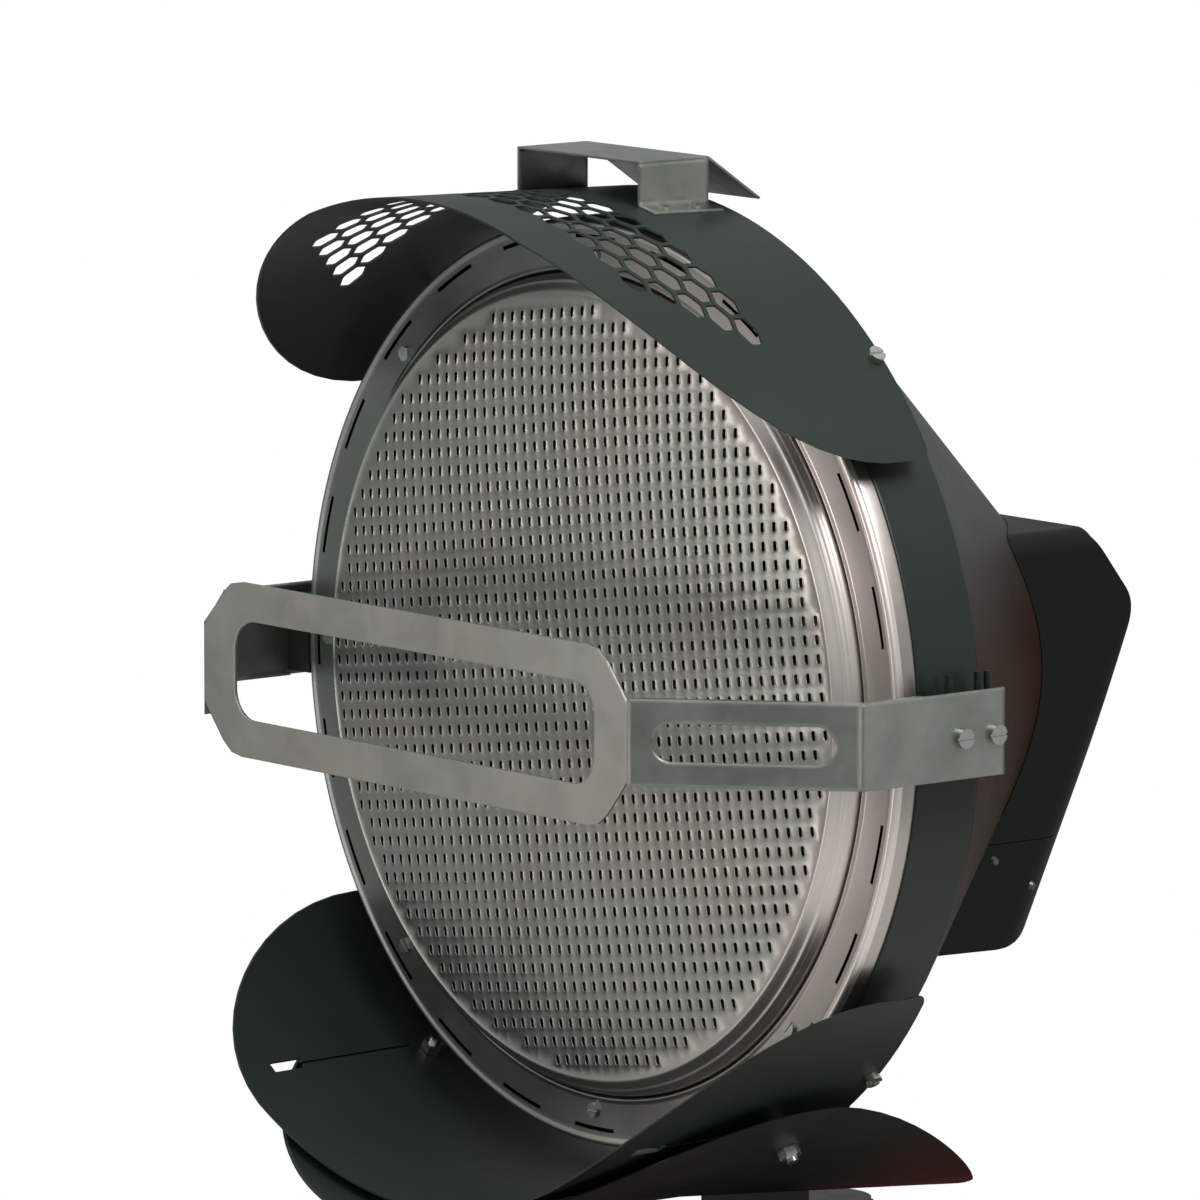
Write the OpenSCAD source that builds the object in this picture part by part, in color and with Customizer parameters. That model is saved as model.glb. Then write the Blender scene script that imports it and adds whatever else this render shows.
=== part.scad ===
// Oil-fired radiant heater with a round perforated emitter, twin hoods and a tilting head.
// Millimetres, +Z up, the emitter faces -Y. The origin is on the floor under the middle of the heater.
// Head parts are drawn in head coordinates: X to the right, Y back from the emitter's centre, Z up from the head's axis.

/* [Head] */
// Outside radius of the round shroud
shroud_r = 301; // [299:0.5:303]
// Depth behind the emitter's centre where the shroud begins
shroud_y0 = 41.4; // [40:0.2:43]
// Depth behind the emitter's centre where the shroud ends
shroud_y1 = 91.2; // [90:0.2:93]
// Radius of the perforated dome
dome_r = 252; // [248:1:254]
// Thickness of the head's sheet metal
sheet = 1.5; // [1.2:0.1:1.8]
// Radius of the cone at its small end
cone_end_r = 104; // [100:1:108]
// Depth of the cone's small end
cone_end_y = 325; // [320:1:330]
// Height of the head's axis above the floor
head_z = 762; // [750:1:775]

/* [Hoods] */
// Inside radius of a hood at its rear edge
hood_r = 316.5; // [316:0.25:317]
// Radius gained per millimetre towards the front
hood_flare = 0.025; // [0.02:0.005:0.03]
// Rear edge of a hood, behind the emitter's centre
hood_y1 = 78; // [77.5:0.25:78.5]
// Reach of a hood ahead of the emitter's centre
hood_reach = 122; // [121:0.5:123]
// Rows of honeycomb holes in the top hood
hole_rows = 5; // [3:1:5]
// Axial pitch of the honeycomb rows
hole_pitch_y = 14.15; // [14.1:0.05:14.3]
// Angular pitch of the honeycomb holes, in degrees
hole_pitch_a = 4.84; // [4.82:0.02:4.92]
// Radius of the trough under the head, where its flare begins
trough_r = 331; // [330.5:0.5:332]

/* [Guard] */
// Distance of the guard's front plate ahead of the emitter's centre
guard_y = 122; // [120:1:124]
// Half width of the guard's front plate
guard_w = 216; // [212:1:220]
// Distance of each side leg from the middle
guard_leg_x = 323; // [322:0.5:325]

/* [Base] */
// Width of the fuel tank
tank_w = 430; // [420:5:440]
// Length of the fuel tank
tank_l = 550; // [540:5:560]
// Height of the tank's underside above the floor
tank_z0 = 147; // [147:1:147]
// Height of the tank
tank_h = 198; // [190:1:200]
// Radius of the rear wheels
wheel_r = 110; // [110:1:110]
// Depth of the tilt pivot behind the emitter's centre
pivot_y = 162; // [160:1:164]
// Drop of the tilt pivot below the head's axis
pivot_drop = 276; // [274:1:278]

/* [Hidden] */
$fn = 96;

shift_y = -183.25;                     // puts the origin under the middle of the overall length
tank_y0 = -120;                      // front face of the tank, from the emitter's centre
tank_top = tank_z0 + tank_h;
tank_cy = tank_y0 + tank_l / 2;
pivot_z = head_z - pivot_drop;
cone_k = (shroud_r - 1 - cone_end_r) / (cone_end_y - shroud_y1);
ring_r = shroud_r - sheet;           // outside of the parts that slide into the shroud
axle_y = 330;
caster_y = -60;
caster_x = 165;
jack_z = 119;                        // underside of the pad on the front cross bar, the place for a jack

module hd() { translate([0, shift_y, head_z]) children(); }
module bs() { translate([0, shift_y, 0]) children(); }
// Revolves a profile (radius, depth) about the head's axis, over angles measured up from +X
module rv(a0 = 0, a1 = 360, f = 180) {
  rotate([-90, 0, 0])
    if (a1 - a0 >= 360) rotate_extrude($fn = f) children();
    else rotate([0, 0, -a1]) rotate_extrude(angle = a1 - a0, $fn = f) children();
}
// A cylinder along the head's axis from depth y0 to y1
module cy(r, y0, y1) { translate([0, y0, 0]) rotate([-90, 0, 0]) cylinder(r = r, h = y1 - y0); }
module tube_y(ro, ri, y0, y1) { difference() { cy(ro, y0, y1); cy(ri, y0 - 1, y1 + 1); } }
// Turns +X to the direction a degrees above the horizontal, in the plane of the emitter
module at_angle(a) { rotate([0, -a, 0]) children(); }
module rrect(w, l, r) {
  union() {
    square([w - 2 * r, l], center = true);
    square([w, l - 2 * r], center = true);
    for (x = [-1, 1], y = [-1, 1]) translate([x * (w / 2 - r), y * (l / 2 - r)]) circle(r = r, $fn = 48);
  }
}
function bez(p, q, s, e, t) = pow(1 - t, 3) * p + 3 * t * pow(1 - t, 2) * q + 3 * t * t * (1 - t) * s + t * t * t * e;
function dome_y(r) = 12 * (0.00061 * pow(r / 12, 2) + 0.0000034 * pow(r / 12, 4));
function cone_r(y) = shroud_r - 1 - cone_k * (y - shroud_y1);

// ---------------------------------------------------------------- emitter and ring
module radiant_disc() color([0.62, 0.6, 0.55]) hd() {
  out = concat([for (i = [0:14]) [dome_r * i / 14, dome_y(dome_r * i / 14)]],
    [[dome_r + 5, dome_y(dome_r) + 3.5], [dome_r + 9, dome_y(dome_r) + 8], [dome_r + 11.5, 24.5], [dome_r + 12, 45]]);
  inn = concat([[dome_r + 10.8, 45], [dome_r + 10.3, 25], [dome_r + 8, dome_y(dome_r) + 9.2], [dome_r + 4, dome_y(dome_r) + 4.7]],
    [for (i = [14:-1:0]) [dome_r * i / 14, dome_y(dome_r * i / 14) + 1.2]]);
  rv() polygon(concat(out, inn));
}

module emitter_ring() color([0.7, 0.68, 0.65]) hd() difference() {
  rv() polygon([[267, 45], [267, 28], [268.5, 26.4], [294, 26.4], [297.2, 27.2], [ring_r - 0.4, 29.6], [ring_r, 32], [ring_r, 45],
    [ring_r - 1, 45], [ring_r - 1, 32], [296.5, 28.4], [294, 27.5], [269, 27.5], [268.2, 28.6], [268.2, 45]]);
  for (a = [0:15:345]) at_angle(a) translate([289, 27, 0]) cube([2.6, 8, 39], center = true);
  for (a = [22.5 - 22.5:45:330]) at_angle(a) translate([277, 27, 0]) rotate([90, 0, 0]) cylinder(r = 2.6, h = 8, center = true, $fn = 24);
}

module ring_screws() color([0.8, 0.8, 0.78]) hd() for (a = [0:45:315]) at_angle(a) translate([277, 0, 0]) {
  difference() {
    union() { cy(4.8, 24, 26.4); cy(2.6, 26.4, 45); }
    translate([0, 24, 0]) cube([1, 1.6, 12], center = true);
  }
}

module mounting_frame() color([0.2, 0.22, 0.21]) hd() difference() {
  cy(ring_r, 45, 47.5);
  cy(238, 44, 49);
  for (a = [0:45:315]) at_angle(a) translate([277, 46, 0]) rotate([90, 0, 0]) cylinder(r = 2.6, h = 8, center = true, $fn = 24);
}

// ---------------------------------------------------------------- shroud, cone and burner
module shroud_band() color([0.22, 0.27, 0.25]) hd() difference() {
  rv() polygon([[ring_r, shroud_y0], [shroud_r - 0.4, shroud_y0],
    [shroud_r, shroud_y0 + 1], [shroud_r, shroud_y1 - 1], [shroud_r - 0.4, shroud_y1], [ring_r, shroud_y1]]);
  for (a = [bolt_a, 180 - bolt_a, -bolt_a, 180 + bolt_a]) at_angle(a) translate([280, bolt_y, 0]) rotate([0, 90, 0]) cylinder(r = 3, h = 40, $fn = 36);
}

// The cone's end is cut along the slant of the housing's rear wall
module back_trim() { translate([0, 315, -104]) rotate([-23.4, 0, 0]) translate([0, 150, 0]) cube([400, 300, 900], center = true); }
module rear_cone() color([0.24, 0.26, 0.26]) hd() difference() {
  rv() polygon([[ring_r, shroud_y1 - 12], [ring_r, shroud_y1], [shroud_r - 1, shroud_y1 + 1],
    [cone_end_r - 11 * cone_k, cone_end_y + 11], [cone_end_r - 11.05, cone_end_y + 11], [cone_end_r - 1.5, cone_end_y - 0.5],
    [ring_r - 2.4, shroud_y1 - 1], [ring_r - 1.5, shroud_y1 - 12]]);
  back_trim();
}

module flame_chamber() color([0.5, 0.45, 0.4]) hd() {
  rv() polygon([[239, 47.5], [239, 49], [227, 49], [172, 108], [95, 165], [95, 240], [46, 240], [46, 238.5], [93.5, 238.5], [93.5, 164.2],
    [170.9, 107], [226, 47.5]]);
}

module flame_spreader() color([0.45, 0.4, 0.36]) hd() {
  difference() { cy(80, 110, 112); for (a = [0:30:330]) at_angle(a) translate([55, 111, 0]) rotate([90, 0, 0]) cylinder(r = 8, h = 6, center = true, $fn = 24); }
  for (a = [90, 210, 330]) at_angle(a) translate([74, 112, 0]) cy(3, 0, 126.5);
}

module burner_plate() color([0.55, 0.55, 0.53]) hd() difference() {
  cy(cone_end_r - 5.4, 326, 329);
  cy(36, 325, 330);
  for (a = [0:30:240]) at_angle(a - 30) translate([92, 328, 0]) rotate([90, 0, 0]) cylinder(r = 5, h = 8, center = true, $fn = 24);
  back_trim();
}

module blast_tube() color([0.6, 0.6, 0.6]) hd() {
  tube_y(46, 44.5, 205, 271);
  difference() { cy(44.5, 205, 207); cy(17, 204, 208); for (a = [0:30:330]) at_angle(a) translate([31, 206, 0]) rotate([0, 20, 0]) cube([16, 6, 2.4], center = true); }
}

module fuel_nozzle() color([0.75, 0.6, 0.3]) hd() {
  rv(f = 48) polygon([[0, 212], [3, 212], [7, 216], [7, 228], [10, 228], [10, 240], [5, 240], [5, 266], [0, 266]]);
  for (a = [0, 90, 180, 270]) at_angle(a) translate([9, 232, -1]) cube([35.4, 6, 2]);
}

module ignition_electrodes() color([0.9, 0.88, 0.82]) hd() for (s = [-1, 1]) translate([s * 15, 0, 13]) {
  cy(3.5, 222, 264);
  cy(1, 210, 222);
}

// Side outline of the burner housing, (depth, height)
function housing_side(o) = concat(
  [[205, -178 + o], [254.6, -179.4 + o]],
  [for (i = [1:8]) let (a = -90 + i * 70.1 / 8) [254.6 + (60 - o) * cos(a), -119.4 + (60 - o) * sin(a)]],
  [for (i = [0:7]) let (a = -21 + i * 57 / 7) [342 + (28.5 - o) * cos(a), 31 + (28.5 - o) * sin(a)]],
  [[337 - o, 83.5 - o / 2], [335.5 - o, 89 - o], [240, 89 - o]]);
module housing_solid(o) intersection() {
  rotate([90, 0, 90]) translate([0, 0, -140]) linear_extrude(280) polygon(housing_side(o));
  translate([0, 340, 0]) rotate([-26, 0, 0]) translate([0, -97 - o, -320]) linear_extrude(640) rrect(264 - 2 * o, 264, 31 - o);
  translate([0, 150, -211 - o]) rotate([-90, 0, 0]) mirror([0, 1, 0]) linear_extrude(300) translate([0, 150]) rrect(264 - 2 * o, 300, 16 - o);
}
module housing_cut(r) difference() { rv() polygon([[0, 60], [shroud_r + r, 60], [shroud_r + r, shroud_y1], [cone_end_r + r - 11 * cone_k, cone_end_y + 11], [cone_end_r + r - 11 * cone_k, cone_end_y + 11.2], [0, cone_end_y + 11.2]]); translate([0, r, 0]) back_trim(); }
seam_z = -110;                       // joint between the housing and its bottom cover

module burner_housing() color([0.19, 0.22, 0.2]) hd() difference() {
  housing_solid(0);
  housing_solid(sheet);
  housing_cut(0.6);
  translate([-200, 100, -400 + seam_z]) cube([400, 400, 400]);
  translate([-40, 340, 20]) rotate([-23.4, 0, 0]) for (i = [0:4]) translate([0, -10, -i * 14]) cube([80, 60, 5]);
}

module bottom_cover() color([0.19, 0.22, 0.2]) hd() difference() {
  housing_solid(0);
  housing_solid(sheet);
  housing_cut(0.6);
  translate([-200, 100, seam_z - 0.5]) cube([400, 400, 400]);
}

module cover_screws() color([0.3, 0.32, 0.31]) hd() for (s = [-1, 1]) {
  translate([s * 132, 252, -121]) rotate([0, s * 90, 0]) cylinder(r1 = 3.4, r2 = 2.2, h = 2, $fn = 24);
  translate([0, 340, 0]) rotate([-26, 0, 0]) translate([s * 130.754, 12.7, -150.4]) rotate([0, 0, s * 16.3]) rotate([0, s * 90, 0]) cylinder(r1 = 3.4, r2 = 2.2, h = 2, $fn = 24);
}

module fan_scroll() color([0.66, 0.66, 0.66]) hd() difference() {
  cy(88, 271, 311);
  cy(86, 273, 309);
  cy(44.5, 270, 274);
  cy(10, 308, 312);
  for (a = [0:45:315]) at_angle(a) translate([60, 310, 0]) rotate([90, 0, 0]) cylinder(r = 9, h = 8, center = true, $fn = 24);
}

module fan_impeller() color([0.7, 0.7, 0.68]) hd() union() {
  cy(76, 301, 303);
  cy(12, 284, 303);
  for (a = [0:20:340]) at_angle(a) translate([60, 278, 0]) rotate([0, 25, 0]) cube([14, 24, 1.4]);
  difference() { cy(76, 276, 278); cy(56, 275, 279); }
  cy(4, 284, 334);
}

module fan_motor() color([0.3, 0.3, 0.32]) hd() difference() {
  union() { cy(36, 316, 340); cy(20, 311, 318); for (a = [45:90:315]) at_angle(a) translate([28, 0, 0]) cy(4, 311, 317); }
  cy(4.05, 300, 336);
}

module fuel_pump() color([0.6, 0.58, 0.5]) hd() translate([-62, 0, 30]) {
  cy(20, 329, 354);
  translate([-8, 335, 16]) cube([16, 16, 12]);
}

module ignition_transformer() color([0.15, 0.15, 0.16]) hd() translate([40, 329, 8]) cube([34, 27, 36]);

module flame_sensor() color([0.8, 0.75, 0.3]) hd() translate([0, 0, 62]) cy(7, 329, 340);

// ---------------------------------------------------------------- hoods
// Side outline of a hood, (depth, height): rounded rear corner, a curved lower edge through the control points c, upright front
top_edge = [[56, 169.3], [-36.6, 165.4], [-96.4, 248.6], [-hood_reach, 304.8]];
low_edge = [[60, 171.5], [-41, 160.5], [-127.5, 246.5], [-hood_reach, 287.2]];
function hood_edge(c) = concat([[hood_y1, 420], [hood_y1, 178]],
  [for (a = [10:10:80]) [hood_y1 - 8 + 8 * cos(a), 178 - 8 * sin(a)]],
  [for (i = [0:16]) let (t = i / 16) [bez(c[0][0], c[1][0], c[2][0], c[3][0], t), bez(c[0][1], c[1][1], c[2][1], c[3][1], t)]],
  [[-hood_reach, 420]]);
// Cross section of the hood's sheet and of the trough's, (radius, depth)
module hood_profile() polygon([[hood_r - hood_flare * 4, hood_y1 + 4], [hood_r - hood_flare * 4 + sheet, hood_y1 + 4],
  [hood_r + sheet + hood_flare * (hood_y1 + hood_reach + 4), -hood_reach - 4], [hood_r + hood_flare * (hood_y1 + hood_reach + 4), -hood_reach - 4]]);
module trough_profile() polygon([[trough_r - 2, -154], [trough_r - 2 + sheet, -154], [trough_r + sheet, 40], [trough_r + 22 + sheet, 304], [trough_r + 22, 304], [trough_r, 40]]);
module hood_sheet(c) intersection() {
  rv(24, 156) hood_profile();
  rotate([90, 0, 90]) translate([0, 0, -380]) linear_extrude(760) polygon(hood_edge(c));
}
module hex_hole() {
  w = 11.8; v = 3.9; p = 7.8;
  pts = [[0, p], [w, v], [w, -v], [0, -p], [-w, -v], [-w, v]];
  rotate([0, 90, 0]) translate([0, 0, 290]) linear_extrude(70)
    polygon([for (i = [0:5]) let (a = pts[(i + 5) % 6], b = pts[i], c = pts[(i + 1) % 6]) each [b + (a - b) * 0.09, b + (c - b) * 0.09]]);
}
bolt_a = 46;                         // hood bolts, degrees above and below the side
bolt_y = 72;
module top_hood() color([0.2, 0.25, 0.23]) hd() difference() {
  hood_sheet(top_edge);
  for (k = [0:hole_rows - 1], i = [0:12 + k]) at_angle(90 + hole_pitch_a * (i - (12 + k) / 2)) translate([0, -70.6 + k * hole_pitch_y, 0]) hex_hole();
  for (a = [bolt_a, 180 - bolt_a]) at_angle(a) translate([300, bolt_y, 0]) rotate([0, 90, 0]) cylinder(r = 3, h = 30, $fn = 36);
}
// Nut, shank, spacer and slotted head along +X
module hood_bolt() {
  translate([shroud_r - 9, 0, 0]) rotate([0, 90, 0]) cylinder(r = 3, h = 27, $fn = 36);
  translate([shroud_r - 6.5, 0, 0]) rotate([0, 90, 0]) cylinder(r = 5.6, h = 6.5, $fn = 6);
  translate([shroud_r, 0, 0]) rotate([0, 90, 0]) cylinder(r = 5.5, h = hood_r - shroud_r + 1, $fn = 36);
  translate([hood_r + 0.6, 0, 0]) difference() { rotate([0, 90, 0]) cylinder(r = 5.6, h = sheet + 4.2, $fn = 36); translate([sheet + 4, 0, 0]) cube([2.4, 20, 1.6], center = true); }
}
module hood_bolt_set(aa) difference() {
  for (a = aa) at_angle(a) translate([0, bolt_y, 0]) hood_bolt();
  difference() {
    rv() hood_profile();
    for (a = aa) at_angle(a) translate([300, bolt_y, 0]) rotate([0, 90, 0]) cylinder(r = 3, h = 30, $fn = 36);
  }
  difference() {
    tube_y(shroud_r, ring_r, 50, 90);
    for (a = aa) at_angle(a) translate([280, bolt_y, 0]) rotate([0, 90, 0]) cylinder(r = 3, h = 40, $fn = 36);
  }
}
module top_hood_bolts() color([0.8, 0.8, 0.78]) hd() hood_bolt_set([bolt_a, 180 - bolt_a]);

bridge_top = 343;
module bridge_plate() color([0.75, 0.72, 0.7]) hd() union() {
  translate([-61.5, 12, bridge_top - 1.5]) cube([123, 57, 1.5]);
  translate([0, 69, bridge_top]) rotate([-34, 0, 0]) translate([-61.5, 0, -1.5]) cube([123, 52, 1.5]);
}
module bridge_feet() color([0.75, 0.72, 0.7]) hd() difference() {
  for (s = [-1, 1]) scale([s, 1, 1]) {
    translate([60, 12, 290]) cube([1.5, 57, bridge_top - 1.5 - 290]);
    intersection() {
      translate([60, 12, 290]) cube([17, 57, 30]);
      rv(60, 90) polygon([[hood_r + sheet, hood_y1], [hood_r + 2 * sheet, hood_y1], [hood_r + 2 * sheet + hood_flare * 120, hood_y1 - 120], [hood_r + sheet + hood_flare * 120, hood_y1 - 120]]);
    }
  }
  rv() polygon([[250, hood_y1], [hood_r + sheet, hood_y1], [hood_r + sheet + hood_flare * 120, hood_y1 - 120], [250, hood_y1 - 120]]);
}
module bridge_screws() color([0.85, 0.85, 0.83]) hd() difference() {
  for (s = [-1, 1], y = [26, 52]) translate([0, y, 0]) rotate([0, s * 12.5, 0]) cylinder(r = 3.6, h = hood_r + 3 * sheet + hood_flare * (hood_y1 - y) + 2, $fn = 24);
  rv() polygon([[0, hood_y1], [hood_r + 2 * sheet, hood_y1], [hood_r + 2 * sheet + hood_flare * 120, hood_y1 - 120], [0, hood_y1 - 120]]);
}

shield_a = 56;                       // spacer bolts between the lower hood and the trough
shield_y = 33;
module lower_hood() color([0.2, 0.25, 0.23]) hd() difference() {
  mirror([0, 0, 1]) hood_sheet(low_edge);
  for (a = [-bolt_a, 180 + bolt_a]) at_angle(a) translate([300, bolt_y, 0]) rotate([0, 90, 0]) cylinder(r = 3, h = 30, $fn = 36);
  for (a = [-shield_a, 180 + shield_a]) at_angle(a) translate([290, shield_y, 0]) rotate([0, 90, 0]) cylinder(r = 4, h = 60, $fn = 36);
  for (s = [-1, 1]) scale([s, 1, 1]) at_angle(-54.8) {
    translate([320, -81, 0]) cube([40, 24, 8.5], center = true);
    translate([320, -25.5, 0]) cube([40, 89, 1.6], center = true);
  }
}
module lower_hood_bolts() color([0.8, 0.8, 0.78]) hd() hood_bolt_set([-bolt_a, 180 + bolt_a]);
// Upper edge of the trough seen from the side, (depth, drop), an arch from the front lip to the rear tongue
function trough_edge() = concat([[-150, 440], [-150, 327]],
  [for (i = [1:11]) let (t = i / 11) [bez(-150, -98, -45, 30, t), bez(327, 279, 243, 244, t)]],
  [for (i = [1:12]) let (t = i / 12) [bez(30, 88, 190, 262, t), bez(244, 241, 304, 336, t)]], [[300, 358], [300, 440]]);
module lower_shield() color([0.18, 0.22, 0.2]) hd() difference() {
  intersection() {
    rv(-145, -35) trough_profile();
    mirror([0, 0, 1]) rotate([90, 0, 90]) translate([0, 0, -380]) linear_extrude(760) polygon(trough_edge());
  }
  translate([0, (116 + 222) / 2, -trough_r - 10]) cube([56, 222 - 116, 100], center = true);
  for (a = [-shield_a, 180 + shield_a]) at_angle(a) translate([300, shield_y, 0]) rotate([0, 90, 0]) cylinder(r = 4, h = 60, $fn = 36);
}
shield_in = hood_r + hood_flare * (hood_y1 - shield_y);
module shield_bolts() color([0.82, 0.82, 0.8]) hd() for (a = [-shield_a, 180 + shield_a]) at_angle(a) translate([0, shield_y, 0]) rotate([0, 90, 0]) {
  translate([0, 0, shield_in - 11]) cylinder(r = 3.9, h = trough_r - shield_in + 22, $fn = 36);
  translate([0, 0, shield_in - 7]) cylinder(r = 7.5, h = 6.7, $fn = 6);
  translate([0, 0, shield_in + sheet + 0.25]) cylinder(r = 7, h = trough_r - shield_in - sheet - 0.55, $fn = 36);
  translate([0, 0, trough_r + sheet + 0.1]) cylinder(r = 7.5, h = 6.2, $fn = 6);
}

// ---------------------------------------------------------------- guard
guard_z = 3.5;
leg_y = -25;                         // fold between a strap's slanted front and its straight leg
leg_y1 = 91;                         // rear end of a leg
// The left strap and bracket reach a little lower than the right ones
function strap_low(s) = s > 0 ? -24.2 : -30.5;
function mount_low(s) = s > 0 ? -20 : -27;
module guard_loop() color([0.62, 0.6, 0.57]) hd() translate([0, -guard_y, guard_z]) rotate([90, 0, 0]) linear_extrude(2) difference() {
  c = [[guard_w, 24.5], [guard_w - 10, 36.7], [guard_w - 20, 48.3], [guard_w - 29, 55.1], [guard_w - 40, 57]];
  polygon(concat([for (i = [0:4]) c[i]], [for (i = [4:-1:0]) [-c[i][0], c[i][1]]], [for (i = [0:4]) -c[i]], [for (i = [4:-1:0]) [c[i][0], -c[i][1]]]));
  union() { square([327, 64.6], center = true); square([367, 24.6], center = true); for (x = [-1, 1], y = [-1, 1]) translate([x * 163.5, y * 12.3]) circle(r = 20, $fn = 48); }
}
module strap(s) scale([s, 1, 1]) {
  lo = strap_low(s);
  hi = guard_z + 27;
  L = norm([guard_leg_x - guard_w, guard_y + 2 + leg_y]);
  ang = atan2(guard_y + 2 + leg_y, guard_leg_x - guard_w);
  difference() {
    translate([guard_w, -guard_y - 2, 0]) rotate([0, 0, ang]) union() {
      translate([-1, 0, lo]) cube([L + 2.6, 2, hi - lo]);
      for (z = [lo, hi - 1.8]) translate([3, 0, z]) cube([L - 3, 7, 1.8]);
    }
    translate([guard_w, -guard_y - 2, guard_z]) rotate([0, 0, ang]) translate([0, 3, 0]) rotate([90, 0, 0]) linear_extrude(6)
      union() { translate([28, -12]) square([L - 56, 24]); for (x = [28, L - 28]) translate([x, 0]) circle(r = 12, $fn = 48); }
    translate([guard_leg_x, -100, -50]) cube([40, 140, 100]);
    translate([guard_w - 20, -guard_y - 20, -50]) cube([20, 40, 100]);
  }
  difference() {
    union() {
      translate([guard_leg_x, leg_y - 0.5, lo]) cube([2, leg_y1 - leg_y + 0.5, hi - lo]);
      for (z = [lo, hi - 1.8]) translate([guard_leg_x - 4, leg_y + 4, z]) cube([5, 22 - leg_y, 1.8]);
    }
    for (y = [57, 84]) translate([guard_leg_x - 3, y, 1.5]) rotate([0, 90, 0]) cylinder(r = 3.5, h = 8, $fn = 36);
  }
}
module guard_strap_left() color([0.62, 0.6, 0.57]) hd() strap(-1);
module guard_strap_right() color([0.62, 0.6, 0.57]) hd() strap(1);
module guard_mounts() color([0.2, 0.24, 0.22]) hd() for (s = [-1, 1]) scale([s, 1, 1]) difference() {
  union() {
    translate([290, 27, mount_low(s)]) difference() {
      cube([guard_leg_x - 290, 66, 24 - mount_low(s)]);
      translate([-10, 2.5, 2.5]) cube([guard_leg_x - 290 + 7.5, 62, 19 - mount_low(s)]);
    }
    for (y = [46, 56, 80, 88]) translate([312, y, 22]) cylinder(r = 2.5, h = 18, $fn = 24);
  }
  cy(shroud_r, 0, 120);
  for (y = [57, 84]) translate([guard_leg_x - 10, y, 1.5]) rotate([0, 90, 0]) cylinder(r = 3.5, h = 20, $fn = 36);
}
module guard_bolts() color([0.85, 0.85, 0.83]) hd() for (s = [-1, 1], y = [57, 84]) scale([s, 1, 1]) translate([guard_leg_x, y, 1.5]) {
  translate([-8.5, 0, 0]) rotate([0, 90, 0]) cylinder(r = 3.5, h = 12, $fn = 36);
  translate([2, 0, 0]) difference() { rotate([0, 90, 0]) cylinder(r = 6.4, h = 3.4, $fn = 36); translate([3.4, 0, 0]) cube([2.4, 20, 1.6], center = true); }
  translate([-7, 0, 0]) rotate([0, 90, 0]) cylinder(r = 6.6, h = 4.5, $fn = 6);
}

// ---------------------------------------------------------------- tilt support
module tilt_saddle() color([0.2, 0.24, 0.22]) hd() difference() {
  for (s = [-1, 1]) translate([s * 31.5 - 2.5, 0, 0]) union() {
    translate([0, 118, -trough_r - 20]) cube([5, 96, trough_r - 130]);
  }
  rv() polygon([[0, 50], [ring_r, 50], [shroud_r, shroud_y1], [shroud_r - 1, shroud_y1 + 1], [cone_end_r, cone_end_y], [0, cone_end_y]]);
  rv() polygon([[trough_r, 40], [trough_r + 60, 40], [trough_r + 60, 304], [trough_r + 22, 304]]);
  translate([-50, pivot_y, -pivot_drop]) rotate([0, 90, 0]) cylinder(r = 12, h = 100, $fn = 48);
}
module pivot_bushes() color([0.75, 0.6, 0.35]) hd() for (s = [-1, 1]) scale([s, 1, 1]) translate([0, pivot_y, -pivot_drop]) rotate([0, 90, 0]) difference() {
  union() { translate([0, 0, 25.4]) cylinder(r = 17, h = 3.6, $fn = 48); translate([0, 0, 25.4]) cylinder(r = 12, h = 8.6, $fn = 48); }
  cylinder(r = 8.05, h = 60, $fn = 48);
}
module pivot_column() color([0.2, 0.24, 0.22]) bs() difference() {
  union() {
    translate([-25, pivot_y - 25, tank_top + 4]) difference() { cube([50, 50, pivot_z - tank_top - 4]); translate([4, 4, -1]) cube([42, 42, 300]); }
    for (s = [-1, 1]) translate([s * 23 - 2, pivot_y, pivot_z]) rotate([0, 90, 0]) cylinder(r = 25, h = 4, $fn = 48);
    translate([-60, pivot_y - 50, tank_top + 4]) difference() { cube([120, 100, 6]); translate([39, 29, -1]) cube([42, 42, 10]); }
  }
  translate([-21, pivot_y - 30, pivot_z - 34]) cube([42, 60, 100]);
  translate([-40, pivot_y, pivot_z]) rotate([0, 90, 0]) cylinder(r = 8, h = 80, $fn = 48);
  for (x = [-48, 48], y = [-38, 38]) translate([x, pivot_y + y, tank_top]) cylinder(r = 5, h = 20, $fn = 36);
}
module pivot_pin() color([0.7, 0.7, 0.68]) bs() translate([0, pivot_y, pivot_z]) rotate([0, 90, 0]) {
  translate([0, 0, -35]) cylinder(r = 8, h = 95, $fn = 48);
  translate([0, 0, -45]) cylinder(r = 13, h = 10, $fn = 6);
}
module tilt_knob() color([0.08, 0.08, 0.08]) bs() translate([0, pivot_y, pivot_z]) rotate([0, 90, 0]) difference() {
  rotate_extrude($fn = 72) polygon([[8.05, 35], [14, 35], [14, 43], [23, 43], [25, 45], [25, 58], [23, 60], [8.05, 60]]);
  for (a = [0:60:300]) rotate([0, 0, a]) translate([31, 0, 42]) cylinder(r = 10, h = 20, $fn = 48);
}

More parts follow.
